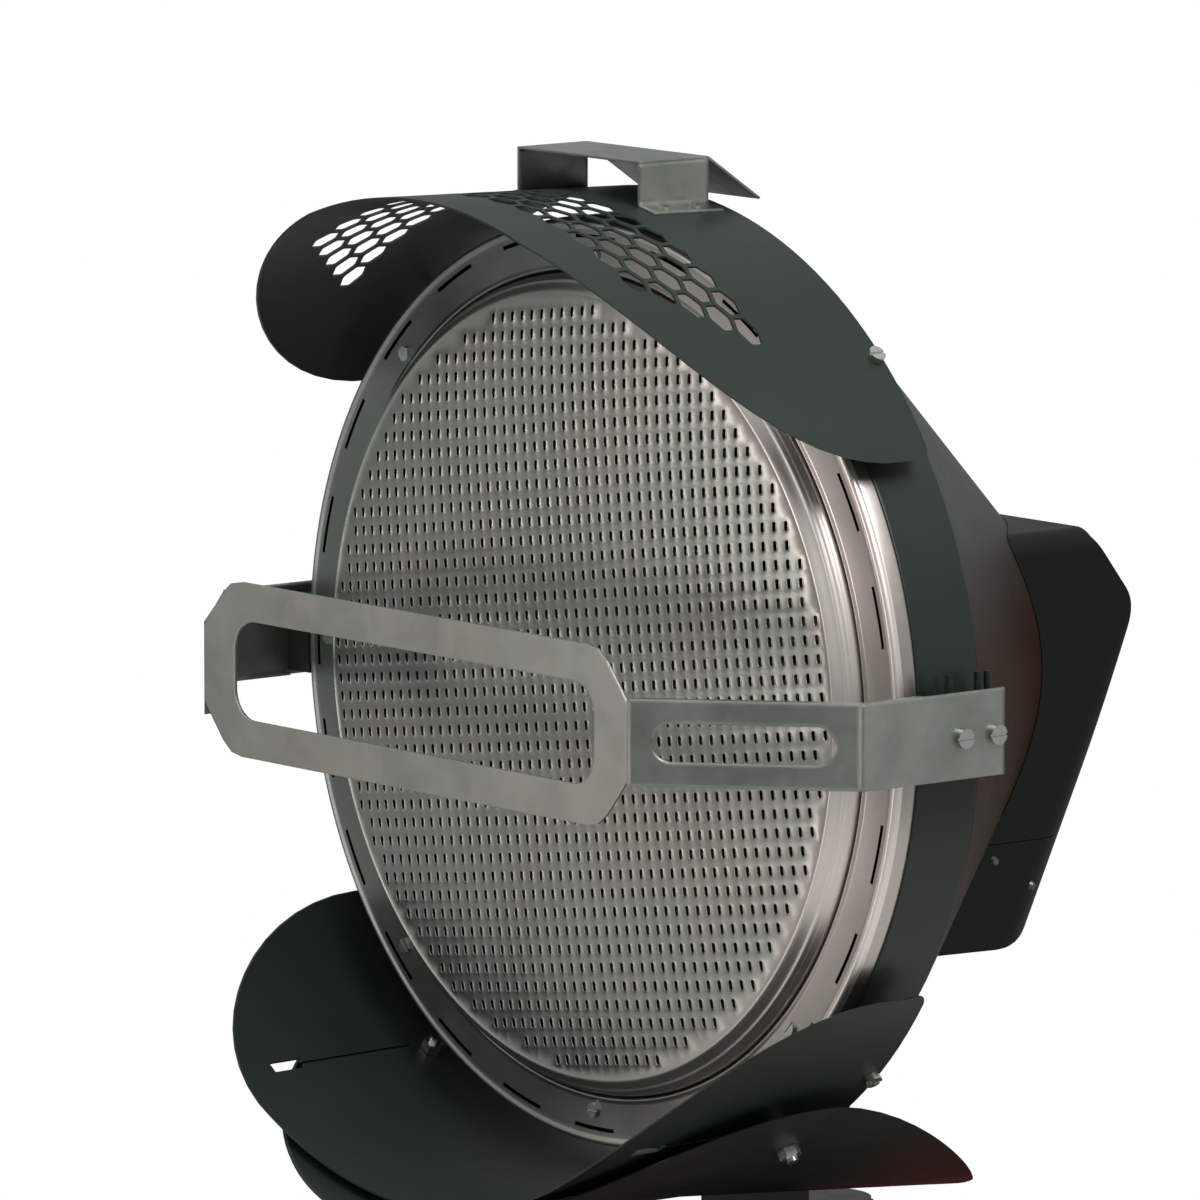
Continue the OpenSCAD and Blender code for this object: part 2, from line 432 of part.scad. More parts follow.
// ---------------------------------------------------------------- base
module tank_strap() color([0.2, 0.24, 0.22]) bs() difference() {
  translate([-tank_w / 2 - 4, pivot_y - 60, tank_z0]) cube([tank_w + 8, 120, tank_h + 4]);
  translate([-tank_w / 2, pivot_y - 61, tank_z0 - 1]) cube([tank_w, 122, tank_h + 1]);
}
module fuel_tank() color([0.35, 0.07, 0.05]) bs() translate([0, tank_cy, tank_z0]) difference() {
  union() {
    linear_extrude(tank_h) rrect(tank_w, tank_l, 32);
    difference() {
      translate([0, 0, 100]) linear_extrude(5) rrect(tank_w + 16, tank_l + 16, 40);
      translate([-tank_w, pivot_y - tank_cy - 62, 90]) cube([2 * tank_w, 124, 30]);
      translate([-170, tank_l / 2 - 0.2, 90]) cube([292, 20, 30]);
      translate([0, 0, 90]) linear_extrude(30) rrect(tank_w - 1, tank_l - 1, 31.5);
    }
  }
  translate([0, 0, 2]) linear_extrude(tank_h - 4) rrect(tank_w - 4, tank_l - 4, 30);
  translate([-130, 175, tank_h - 5]) cylinder(r = 24, h = 10, $fn = 48);
  for (x = [110, 140]) translate([x, 200, tank_h - 5]) cylinder(r = 6, h = 10, $fn = 36);
  translate([0, 245, -5]) cylinder(r = 9, h = 12, $fn = 36);
  for (z = [30, 168]) translate([-150, tank_l / 2 - 5, z]) rotate([-90, 0, 0]) cylinder(r = 4, h = 10, $fn = 36);
}
module filler_cap() color([0.1, 0.1, 0.1]) bs() translate([-130, tank_cy + 175, tank_top]) difference() {
  union() { translate([0, 0, 4]) cylinder(r = 33, h = 22); for (a = [0:30:330]) rotate([0, 0, a]) translate([32, 0, 4]) cylinder(r = 3, h = 19, $fn = 24); }
  translate([0, 0, 3]) cylinder(r = 27.35, h = 17.5, $fn = 60);
}
module tank_fittings() color([0.72, 0.6, 0.35]) bs() translate([0, tank_cy, 0]) {
  translate([-130, 175, tank_top]) difference() { union() { cylinder(r = 27.3, h = 19, $fn = 60); cylinder(r = 32, h = 2.5, $fn = 60); } translate([0, 0, -1]) cylinder(r = 24, h = 30, $fn = 60); }
  for (x = [110, 140]) translate([x, 200, tank_top]) { cylinder(r = 11, h = 8, $fn = 6); cylinder(r = 6, h = 16, $fn = 36); translate([0, 0, -150]) cylinder(r = 4, h = 150, $fn = 24); }
  translate([0, 245, tank_z0]) { translate([0, 0, -7]) cylinder(r = 13, h = 7, $fn = 6); cylinder(r = 9, h = 6, $fn = 36); }
}
module level_sight() color([0.8, 0.85, 0.85, 0.5]) bs() translate([-150, tank_cy + tank_l / 2, tank_z0]) {
  for (z = [30, 168]) translate([0, 0, z]) { rotate([-90, 0, 0]) cylinder(r = 8, h = 10, $fn = 36); translate([0, -4, 0]) rotate([-90, 0, 0]) cylinder(r = 4, h = 4, $fn = 36); }
  translate([0, 10, 20]) difference() { cylinder(r = 6, h = 158, $fn = 36); translate([0, 0, 2]) cylinder(r = 4.5, h = 154, $fn = 36); }
}
module chassis() color([0.16, 0.18, 0.17]) bs() difference() {
  union() {
    for (s = [-1, 1]) translate([s * 165 - 20, tank_y0 + 10, 122]) difference() { cube([40, 560, 25]); translate([2.5, -1, 2.5]) cube([35, 562, 20]); }
    for (y = [tank_y0 + 70, 300]) translate([-145, y, 122]) cube([290, 30, 25]);
    translate([-130, tank_y0 + 70, jack_z]) cube([260, 30, 5]);
    for (s = [-1, 1]) translate([s * 165 - 20, axle_y - 30, 96]) cube([40, 60, 26]);
    for (s = [-1, 1]) translate([s * 202 - 18, pivot_y - 20, 141]) cube([36, 40, 6]);
    for (s = [-1, 1], t = [-1, 1]) translate([s * 165 + t * 10.5 - 2.5, 0, 0]) {
      translate([0, handle_y, 122]) cube([5, 42, 25]);
      translate([0, handle_y, handle_z]) rotate([0, 90, 0]) cylinder(r = 12.5, h = 5, $fn = 36);
    }
    for (s = [-1, 1]) translate([s * 165 - 15, handle_y, handle_z]) rotate([0, 90, 0]) cylinder(r = 6, h = 30, $fn = 36);
  }
  translate([-250, axle_y, wheel_r]) rotate([0, 90, 0]) cylinder(r = 8, h = 500, $fn = 48);
  for (s = [-1, 1]) translate([s * caster_x, caster_y, 121]) cylinder(r = 6, h = 30, $fn = 36);
}
module wheel_axle() color([0.7, 0.7, 0.68]) bs() translate([0, axle_y, wheel_r]) rotate([0, 90, 0]) {
  translate([0, 0, -292]) cylinder(r = 8, h = 584, $fn = 48);
  for (s = [-1, 1]) translate([0, 0, s * 289 - 2.5]) cylinder(r = 13, h = 5, $fn = 36);
}
module wheel(s) bs() translate([s * 258, axle_y, wheel_r]) rotate([0, 90, 0]) difference() {
  union() {
    cylinder(r = 18, h = 56, center = true);
    difference() { cylinder(r = 82, h = 40, center = true); translate([0, 0, 3]) cylinder(r = 77, h = 41); translate([0, 0, -44]) cylinder(r = 77, h = 41); }
  }
  cylinder(r = 8.05, h = 80, center = true, $fn = 48);
  for (a = [0:60:300]) rotate([0, 0, a]) translate([48, 0, 0]) cylinder(r = 14, h = 20, center = true, $fn = 36);
}
module wheel_left() color([0.6, 0.6, 0.58]) wheel(-1);
module wheel_right() color([0.6, 0.6, 0.58]) wheel(1);
module tyre(s) bs() translate([s * 258, axle_y, wheel_r]) rotate([0, 90, 0]) rotate_extrude($fn = 96)
  polygon([[82, -20], [88, -25], [98, -27], [106, -24], [wheel_r, -16], [wheel_r, 16], [106, 24], [98, 27], [88, 25], [82, 20]]);
module tyre_left() color([0.06, 0.06, 0.06]) tyre(-1);
module tyre_right() color([0.06, 0.06, 0.06]) tyre(1);
caster_r = 40;
caster_trail = 24;
module caster(s) bs() translate([s * caster_x, caster_y, 0]) difference() {
  union() {
    translate([0, 0, 112]) cylinder(r = 26, h = 9.6, $fn = 60);
    translate([0, 0, 118]) cylinder(r = 5.95, h = 40, $fn = 36);
    for (t = [-1, 1]) translate([t * 20 - 2, 0, 0]) {
      translate([0, 0, 58]) cube([4, 16, 54]);
      translate([0, -14, 92]) cube([4, 54, 20]);
      translate([0, caster_trail, caster_r]) rotate([0, 90, 0]) cylinder(r = 12, h = 4, $fn = 36);
      translate([0, caster_trail - 12, caster_r]) cube([4, 24, 60]);
    }
    translate([-22, -14, 108]) cube([44, 54, 4]);
  }
  translate([-30, caster_trail, caster_r]) rotate([0, 90, 0]) cylinder(r = 5, h = 60, $fn = 36);
  translate([0, 0, 146.8]) cylinder(r = 10, h = 30, $fn = 36);
}
module caster_left() color([0.6, 0.6, 0.58]) caster(-1);
module caster_right() color([0.6, 0.6, 0.58]) caster(1);
module caster_wheel(s) bs() translate([s * caster_x, caster_y + caster_trail, caster_r]) rotate([0, 90, 0]) {
  cylinder(r = caster_r, h = 26, center = true);
  cylinder(r = 14, h = 34, center = true, $fn = 48);
  cylinder(r = 4.95, h = 50, center = true, $fn = 36);
}
module caster_wheel_left() color([0.06, 0.06, 0.06]) caster_wheel(-1);
module caster_wheel_right() color([0.06, 0.06, 0.06]) caster_wheel(1);

// Control box behind the tank
box_y = tank_y0 + tank_l;
module control_box() color([0.18, 0.21, 0.2]) bs() translate([-60, box_y, 170]) difference() {
  cube([180, 70, 160]);
  translate([2, 2, 2]) cube([176, 66, 156]);
  translate([44, 60, 110]) rotate([-90, 0, 0]) cylinder(r = 4.1, h = 20, $fn = 36);
  translate([110, 64, 92]) cube([26, 20, 36]);
}
module power_switch() color([0.1, 0.1, 0.1]) bs() translate([63, box_y + 67, 280]) union() {
  rotate([90, 0, 90]) translate([0, 0, -10.5]) linear_extrude(21) polygon([[-6, -9], [2, -14.5], [8, -14], [4.5, 0], [8, 14], [2, 14.5], [-6, 9]]);
  translate([-12.5, 0, 0]) rotate([0, 90, 0]) cylinder(r = 2, h = 25, $fn = 36);
}
module thermostat_knob() color([0.08, 0.08, 0.08]) bs() translate([-16, box_y + 70, 280]) rotate([-90, 0, 0]) union() {
  difference() { union() { translate([0, 0, 1]) cylinder(r = 20, h = 4, $fn = 60); translate([0, 0, 5]) cylinder(r = 15, h = 14, $fn = 60); }
    translate([-1, -16, 17]) cube([2, 16, 4]); }
  translate([0, 0, -12]) cylinder(r = 4, h = 14, $fn = 36);
}
module panel_fittings() color([0.7, 0.2, 0.15]) bs() {
  translate([-16, box_y + 70, 215]) rotate([-90, 0, 0]) cylinder(r = 6, h = 6, $fn = 36);
  translate([50, box_y + 70, 195]) difference() { cube([32, 4, 26]); translate([4, -1, 4]) cube([24, 10, 18]); }
  translate([30, box_y + 70, 208]) rotate([-90, 0, 0]) cylinder(r = 7, h = 9, $fn = 36);
  translate([63, box_y + 70, 280]) difference() {
    union() { translate([-13, -12, -18]) cube([26, 14, 36]); translate([-16, 0, -21]) cube([32, 2, 42]); }
    translate([-10.8, -20, -16]) cube([21.6, 40, 32]);
    translate([-12.6, -3, 0]) rotate([0, 90, 0]) cylinder(r = 2.05, h = 25.2, $fn = 36);
  }
}
// Pull handle, hinged on lugs at the front ends of the chassis rails
handle_y = -140;
handle_z = 134.5;
module pull_handle() color([0.2, 0.24, 0.22]) bs() translate([0, handle_y, handle_z]) difference() {
  union() {
    for (s = [-1, 1]) translate([s * 165, 0, 0]) {
      translate([-7.8, 0, 0]) rotate([0, 90, 0]) cylinder(r = 11, h = 15.6, $fn = 36);
      cylinder(r = 7, h = 190, $fn = 36);
      translate([-s * 28, 0, 190]) rotate([90, 0, 0]) rotate([0, 0, s > 0 ? 0 : 90]) rotate_extrude(angle = 90, $fn = 60) translate([28, 0]) circle(r = 7, $fn = 36);
    }
    translate([-137, 0, 218]) rotate([0, 90, 0]) cylinder(r = 7, h = 274, $fn = 36);
    translate([-60, 0, 218]) rotate([0, 90, 0]) cylinder(r = 10, h = 120, $fn = 36);
  }
  translate([-200, 0, 0]) rotate([0, 90, 0]) cylinder(r = 6.05, h = 400, $fn = 36);
}

radiant_disc();
emitter_ring();
ring_screws();
mounting_frame();
shroud_band();
rear_cone();
flame_chamber();
flame_spreader();
burner_plate();
blast_tube();
fuel_nozzle();
ignition_electrodes();
burner_housing();
bottom_cover();
cover_screws();
fan_scroll();
fan_impeller();
fan_motor();
fuel_pump();
ignition_transformer();
flame_sensor();
top_hood();
top_hood_bolts();
bridge_plate();
bridge_feet();
bridge_screws();
lower_hood();
lower_hood_bolts();
lower_shield();
shield_bolts();
guard_loop();
guard_strap_left();
guard_strap_right();
guard_mounts();
guard_bolts();
tilt_saddle();
pivot_bushes();
pivot_column();
pivot_pin();
tilt_knob();
tank_strap();
fuel_tank();
filler_cap();
tank_fittings();
level_sight();
chassis();
wheel_axle();
wheel_left();
wheel_right();
tyre_left();
tyre_right();
caster_left();
caster_right();
caster_wheel_left();
caster_wheel_right();
control_box();
power_switch();
thermostat_knob();
panel_fittings();
pull_handle();
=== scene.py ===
"""Looks of the round emitter heater: procedural materials, a punched emitter dome, light and camera."""
import math

import bpy
import bmesh
from mathutils import Matrix, Vector
from mathutils.geometry import delaunay_2d_cdt


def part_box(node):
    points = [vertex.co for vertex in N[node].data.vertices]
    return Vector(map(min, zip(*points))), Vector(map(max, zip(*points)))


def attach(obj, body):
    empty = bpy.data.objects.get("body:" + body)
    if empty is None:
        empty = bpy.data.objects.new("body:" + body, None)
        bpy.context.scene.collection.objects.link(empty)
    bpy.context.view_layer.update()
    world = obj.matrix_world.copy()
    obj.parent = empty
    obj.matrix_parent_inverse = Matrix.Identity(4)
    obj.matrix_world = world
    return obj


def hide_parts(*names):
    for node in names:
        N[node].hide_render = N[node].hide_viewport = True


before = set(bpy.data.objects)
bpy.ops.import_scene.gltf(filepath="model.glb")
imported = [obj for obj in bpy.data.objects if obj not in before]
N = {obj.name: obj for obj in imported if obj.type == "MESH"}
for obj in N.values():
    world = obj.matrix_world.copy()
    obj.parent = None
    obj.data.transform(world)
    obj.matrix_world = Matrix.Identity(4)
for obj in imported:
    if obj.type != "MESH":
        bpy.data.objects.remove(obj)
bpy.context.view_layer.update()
scene = bpy.context.scene
scene.view_settings.view_transform = "Standard"

_a, _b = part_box("radiant_disc")
SY = _a.y  # depth of the emitter's centre in the row frame
HZ = (_a.z + _b.z) / 2  # height of the head's axis


def W(x, y, z):
    """Head coordinates in millimetres to the row frame in metres."""
    return Vector((x / 1000, y / 1000 + SY, z / 1000 + HZ))


# ------------------------------------------------------------------ materials
class Mat:
    def __init__(self, name, color, rough, metal=0.0, spec=0.5):
        self.m = bpy.data.materials.new(name)
        self.m.use_nodes = True
        self.nt = self.m.node_tree
        self.b = self.nt.nodes["Principled BSDF"]
        self.b.inputs["Base Color"].default_value = (*color, 1)
        self.b.inputs["Roughness"].default_value = rough
        self.b.inputs["Metallic"].default_value = metal
        self.b.inputs["Specular IOR Level"].default_value = spec
        self.tc = self.nt.nodes.new("ShaderNodeTexCoord")
        self.h = None

    def noise(self, scale, detail=3.0, rough=0.55, stretch=None, distort=0.0):
        n = self.nt.nodes.new("ShaderNodeTexNoise")
        n.inputs["Scale"].default_value = scale
        n.inputs["Detail"].default_value = detail
        n.inputs["Roughness"].default_value = rough
        n.inputs["Distortion"].default_value = distort
        if stretch:
            mp = self.nt.nodes.new("ShaderNodeMapping")
            mp.inputs["Scale"].default_value = stretch
            self.nt.links.new(self.tc.outputs["Object"], mp.inputs["Vector"])
            self.nt.links.new(mp.outputs["Vector"], n.inputs["Vector"])
        else:
            self.nt.links.new(self.tc.outputs["Object"], n.inputs["Vector"])
        return n.outputs["Fac"]

    def radial(self, centre, r0, r1):
        """0 inside r0 to 1 outside r1, round the Y axis through centre."""
        mp = self.nt.nodes.new("ShaderNodeMapping")
        mp.vector_type = "TEXTURE"
        mp.inputs["Location"].default_value = centre
        fl = self.nt.nodes.new("ShaderNodeVectorMath")
        fl.operation = "MULTIPLY"
        fl.inputs[1].default_value = (1, 0, 1)
        ln = self.nt.nodes.new("ShaderNodeVectorMath")
        ln.operation = "LENGTH"
        self.nt.links.new(self.tc.outputs["Object"], mp.inputs["Vector"])
        self.nt.links.new(mp.outputs["Vector"], fl.inputs[0])
        self.nt.links.new(fl.outputs["Vector"], ln.inputs[0])
        return self.span(ln.outputs["Value"], r0, r1)

    def height(self, z0, z1):
        """0 below z0 to 1 above z1."""
        sp = self.nt.nodes.new("ShaderNodeSeparateXYZ")
        self.nt.links.new(self.tc.outputs["Object"], sp.inputs[0])
        return self.span(sp.outputs["Z"], z0, z1)

    def side(self, x0, x1):
        """0 left of x0 to 1 right of x1."""
        sp = self.nt.nodes.new("ShaderNodeSeparateXYZ")
        self.nt.links.new(self.tc.outputs["Object"], sp.inputs[0])
        return self.span(sp.outputs["X"], x0, x1)

    def span(self, value, a, b):
        r = self.nt.nodes.new("ShaderNodeMapRange")
        r.interpolation_type = "SMOOTHSTEP"
        r.inputs["From Min"].default_value = a
        r.inputs["From Max"].default_value = b
        self.nt.links.new(value, r.inputs["Value"])
        return r.outputs["Result"]

    def blend(self, fac, a, b):
        m = self.nt.nodes.new("ShaderNodeMix")
        m.data_type = "RGBA"
        self.nt.links.new(fac, m.inputs[0])
        self.nt.links.new(a, m.inputs[6])
        self.nt.links.new(b, m.inputs[7])
        return m.outputs[2]

    def ramp(self, fac, stops):
        r = self.nt.nodes.new("ShaderNodeValToRGB")
        e = r.color_ramp.elements
        while len(e) < len(stops):
            e.new(0.5)
        for i, (p, c) in enumerate(stops):
            e[i].position = p
            e[i].color = (*c, 1) if len(c) == 3 else c
        self.nt.links.new(fac, r.inputs["Fac"])
        return r.outputs["Color"]

    def color(self, out):
        self.nt.links.new(out, self.b.inputs["Base Color"])
        return self

    def rough(self, fac, lo, hi, p0=0.3, p1=0.7):
        r = self.nt.nodes.new("ShaderNodeMapRange")
        r.inputs["From Min"].default_value = p0
        r.inputs["From Max"].default_value = p1
        r.inputs["To Min"].default_value = lo
        r.inputs["To Max"].default_value = hi
        self.nt.links.new(fac, r.inputs["Value"])
        self.nt.links.new(r.outputs["Result"], self.b.inputs["Roughness"])
        return self

    def round_edges(self, radius):
        n = self.nt.nodes.new("ShaderNodeBevel")
        n.samples = 6
        n.inputs["Radius"].default_value = radius
        self.h = n.outputs["Normal"]
        self.nt.links.new(self.h, self.b.inputs["Normal"])
        return self

    def bump(self, fac, strength, dist):
        n = self.nt.nodes.new("ShaderNodeBump")
        n.inputs["Strength"].default_value = strength
        n.inputs["Distance"].default_value = dist
        self.nt.links.new(fac, n.inputs["Height"])
        if self.h is not None:
            self.nt.links.new(self.h, n.inputs["Normal"])
        self.h = n.outputs["Normal"]
        self.nt.links.new(self.h, self.b.inputs["Normal"])
        return self


def tint(c, k):
    return tuple(min(1.0, max(0.0, v * k)) for v in c)


def paint(name, c, rough=0.42, spec=0.5, coarse=0.00012, rounding=0.0):
    m = Mat(name, c, rough, 0.0, spec)
    if rounding:
        m.round_edges(rounding)
    n = m.noise(4.5, 4.0, 0.6)
    m.color(m.ramp(n, [(0.3, tint(c, 0.86)), (0.55, c), (0.75, tint(c, 1.16))]))
    m.rough(m.noise(9.0, 4.0, 0.65), rough - 0.07, rough + 0.09)
    m.bump(m.noise(900.0, 2.0, 0.5), 0.25, coarse)
    return m.m


def steel(name, c, rough=0.32, warm=(1.06, 0.97, 0.95), cool=(0.94, 1.0, 0.98), scale=7.0, spread=0.1, metal=1.0, grain=None, rounding=0.0):
    m = Mat(name, c, rough, metal)
    if rounding:
        m.round_edges(rounding)
    n = m.noise(scale, 4.0, 0.6, distort=0.4)
    m.color(
        m.ramp(
            n,
            [
                (0.3, tuple(a * b for a, b in zip(c, cool))),
                (0.5, c),
                (0.7, tuple(a * b for a, b in zip(c, warm))),
            ],
        )
    )
    m.rough(m.noise(scale * 2.3, 5.0, 0.65, distort=0.6), rough - spread * 0.6, rough + spread)
    if grain:
        m.bump(m.noise(60.0, 2.0, 0.6, stretch=grain), 0.12, 0.0002)
    m.bump(m.noise(700.0, 2.0, 0.5), 0.08, 0.0001)
    return m.m


def plain(name, c, rough, metal=0.0, spec=0.5, grain=500.0, vary=0.1):
    m = Mat(name, c, rough, metal, spec)
    n = m.noise(30.0, 3.0, 0.6)
    m.color(m.ramp(n, [(0.3, tint(c, 1 - vary)), (0.7, tint(c, 1 + vary))]))
    m.rough(m.noise(45.0, 3.0, 0.6), rough - 0.05, rough + 0.06)
    m.bump(m.noise(grain, 2.0, 0.5), 0.15, 0.0001)
    return m.m


def cone_paint():
    """Dark satin paint, a cooler grey above; the warm brown low down is a painted reflection of the red tank
    below.
    """
    m = Mat("cone_paint", (0.02, 0.02, 0.018), 0.4, 0.0, 0.07)
    n = m.noise(4.5, 4.0, 0.6)
    # painted reflection: warm brown on the lower cone standing for the red tank mirrored there
    low = m.ramp(n, [(0.3, (0.024, 0.0095, 0.0055)), (0.7, (0.036, 0.0145, 0.0085))])
    top = m.ramp(n, [(0.3, (0.04, 0.047, 0.046)), (0.7, (0.062, 0.07, 0.069))])
    z = (N["rear_cone"].matrix_world.inverted() @ W(0, 200, 0)).z
    # painted reflection low down, blending into the grey paint above by height
    m.color(m.blend(m.height(z + 0.02, z + 0.14), low, top))
    m.rough(m.noise(9.0, 4.0, 0.65), 0.36, 0.5)
    m.bump(m.noise(400.0, 2.0, 0.5), 0.08, 0.0001)
    return m.m


def emitter_steel():
    """Dull stainless sheet; the plain rim outside the slots gets a painted highlight, brighter and warmer, on the
    right and painted shade on the left.
    """
    c = (0.4, 0.41, 0.385)
    m = Mat("emitter_steel", c, 0.37, 1.0)
    n = m.noise(5.0, 4.0, 0.6, distort=0.4)
    mid = m.ramp(n, [(0.3, (0.372, 0.41, 0.366)), (0.5, c), (0.7, (0.432, 0.402, 0.366))])
    # painted highlight: bright warm colour for the rim's right side
    rim = m.ramp(n, [(0.3, (0.7, 0.65, 0.62)), (0.7, (0.78, 0.71, 0.68))])
    rim_painted_shade = m.ramp(n, [(0.3, (0.3, 0.335, 0.31)), (0.7, (0.35, 0.365, 0.34))])
    # painted shade on the rim's left side, painted highlight on its right side
    rim = m.blend(m.side(-0.06, 0.17), rim_painted_shade, rim)
    m.color(m.blend(m.radial(W(0, 0, 0), 0.236, 0.254), mid, rim))
    m.rough(m.noise(11.5, 5.0, 0.65, distort=0.6), 0.322, 0.45)
    m.bump(m.noise(700.0, 2.0, 0.5), 0.08, 0.0001)
    return m.m


def rim_steel(name, left, right, rough):
    """Steel of the rings, with painted shade towards the left, greener and duller, and a painted highlight towards
    the right, warmer and brighter.
    """
    m = Mat(name, right, rough, 1.0)
    n = m.noise(7.0, 4.0, 0.6, distort=0.3)
    a = m.ramp(n, [(0.3, tint(left, 0.93)), (0.7, tint(left, 1.07))])
    b = m.ramp(n, [(0.3, tint(right, 0.95)), (0.7, tint(right, 1.05))])
    # painted shade on the left blends into the painted highlight on the right
    m.color(m.blend(m.side(-0.08, 0.16), a, b))
    m.rough(m.noise(16.0, 4.0, 0.6), rough - 0.04, rough + 0.06)
    m.bump(m.noise(700.0, 2.0, 0.5), 0.06, 0.0001)
    return m.m


DARK = (0.014, 0.024, 0.02)
M = {
    "paint": paint("dark_paint", DARK, 0.4, 0.42),
    "cone": cone_paint(),
    "housing": paint("housing_paint", (0.004, 0.0065, 0.005), 0.42, 0.2),
    "emitter": emitter_steel(),
    # shoulder: the left colour is painted shade, the bright pinkish right colour a painted highlight
    "shoulder": rim_steel("shoulder_steel", (0.3, 0.33, 0.31), (0.95, 0.87, 0.84), 0.42),
    "small": steel("dark_screws", (0.16, 0.165, 0.16), 0.4, scale=60.0, spread=0.05),
    "stainless": steel("stainless", (0.47, 0.475, 0.445), 0.36, scale=9.0, spread=0.08, rounding=0.0015),
    "strap": steel("strap_steel", (0.355, 0.375, 0.35), 0.36, warm=(1.22, 1.2, 1.2), cool=(0.78, 0.84, 0.8), scale=17.0, spread=0.12, rounding=0.004),
    # ring: the left colour is painted shade, the right colour a painted highlight
    "ring": rim_steel("ring_steel", (0.27, 0.305, 0.285), (0.56, 0.51, 0.485), 0.32),
    "bolt": steel("bolt_steel", (0.42, 0.43, 0.42), 0.22, scale=60.0, spread=0.05),
    "zinc": steel("zinc", (0.72, 0.74, 0.72), 0.24, scale=60.0, spread=0.08),
    "chamber": steel("chamber_steel", (0.12, 0.105, 0.09), 0.55, scale=12.0),
    "brass": steel("brass", (0.62, 0.45, 0.2), 0.3, scale=50.0),
    "ceramic": plain("ceramic", (0.75, 0.73, 0.66), 0.3),
    "motor": paint("motor_paint", (0.03, 0.03, 0.033), 0.45),
    "alu": steel("cast_aluminium", (0.5, 0.5, 0.48), 0.45, scale=40.0),
    "black": plain("black_plastic", (0.012, 0.012, 0.012), 0.45),
    "red": paint("tank_paint", (0.17, 0.012, 0.009), 0.3, 0.4),
    "clear": plain("sight_tube", (0.55, 0.6, 0.58), 0.15),
    "tyre": plain("tyre_rubber", (0.013, 0.013, 0.013), 0.75, grain=1500.0),
    "caster": plain("caster_rubber", (0.03, 0.03, 0.032), 0.6),
    "rim": paint("rim_paint", (0.42, 0.42, 0.4), 0.35),
    "switch": plain("switch_red", (0.42, 0.012, 0.008), 0.25),
}
USE = {
    "paint": "mounting_frame shroud_band top_hood lower_hood lower_shield guard_mounts tilt_saddle pivot_column tank_strap chassis control_box pull_handle",
    "cone": "rear_cone",
    "housing": "burner_housing bottom_cover",
    "emitter": "radiant_disc",
    "ring": "emitter_ring",
    "stainless": "guard_loop",
    "strap": "guard_strap_left guard_strap_right bridge_plate bridge_feet",
    "small": "cover_screws",
    "bolt": "guard_bolts",
    "zinc": "ring_screws burner_plate blast_tube fan_scroll fan_impeller top_hood_bolts bridge_screws lower_hood_bolts shield_bolts pivot_pin wheel_axle caster_left caster_right",
    "chamber": "flame_chamber flame_spreader",
    "brass": "fuel_nozzle flame_sensor pivot_bushes tank_fittings",
    "ceramic": "ignition_electrodes",
    "motor": "fan_motor",
    "alu": "fuel_pump",
    "black": "ignition_transformer tilt_knob filler_cap thermostat_knob panel_fittings",
    "red": "fuel_tank",
    "clear": "level_sight",
    "rim": "wheel_left wheel_right",
    "tyre": "tyre_left tyre_right",
    "caster": "caster_wheel_left caster_wheel_right",
    "switch": "power_switch",
}
of_node = {n: k for k, v in USE.items() for n in v.split()}


def skin(o, mat):
    o.data.materials.clear()
    o.data.materials.append(mat)


for n, o in N.items():
    skin(o, M[of_node[n]])


def edge(o, width, segments=2, angle=35):
    b = o.modifiers.new("edge", "BEVEL")
    b.width = width
    b.segments = segments
    b.limit_method = "ANGLE"
    b.angle_limit = math.radians(angle)
    b.harden_normals = False


# ------------------------------------------------------------------ meshes
def make(name, verts, faces, mat, smooth=True, sharp=None):
    me = bpy.data.meshes.new(name)
    me.from_pydata([tuple(v) for v in verts], [], faces)
    me.validate()
    me.update()
    o = bpy.data.objects.new(name, me)
    scene.collection.objects.link(o)
    me.materials.append(mat)
    me.polygons.foreach_set("use_smooth", [smooth] * len(me.polygons))
    if sharp is not None:
        me.set_sharp_from_angle(angle=math.radians(sharp))
    return o


def dome(r):
    u = r / 12
    return 12 * (0.00061 * u * u + 0.0000034 * u**4)


HALF = [24, 24, 24, 24, 23, 23, 23, 22, 22, 21, 21, 20, 19, 18, 17, 16, 15, 13, 11, 8, 5]
ROT = math.radians(8)


def slot_loop(cx, cy, hw, hh, n):
    """Obround loop round (cx, cy), hw by hh half sizes, n points (n even)."""
    out = []
    for k in range(n):
        t = 2 * math.pi * (k + 0.5) / n
        c, s = math.cos(t), math.sin(t)
        out.append((cx + hw * c, cy + (hh - hw) * (1 if s > 0 else -1) + hw * s))
    return out


def band(o, mat, lo, hi):
    """Gives the faces between two radii round the head's axis a second material; here it is the shoulder steel,
    with a painted highlight on the right and painted shade on the left.
    """
    o.data.materials.append(mat)
    for f in o.data.polygons:
        if lo < math.hypot(f.center.x, f.center.z - HZ) * 1000 < hi:
            f.material_index = 1


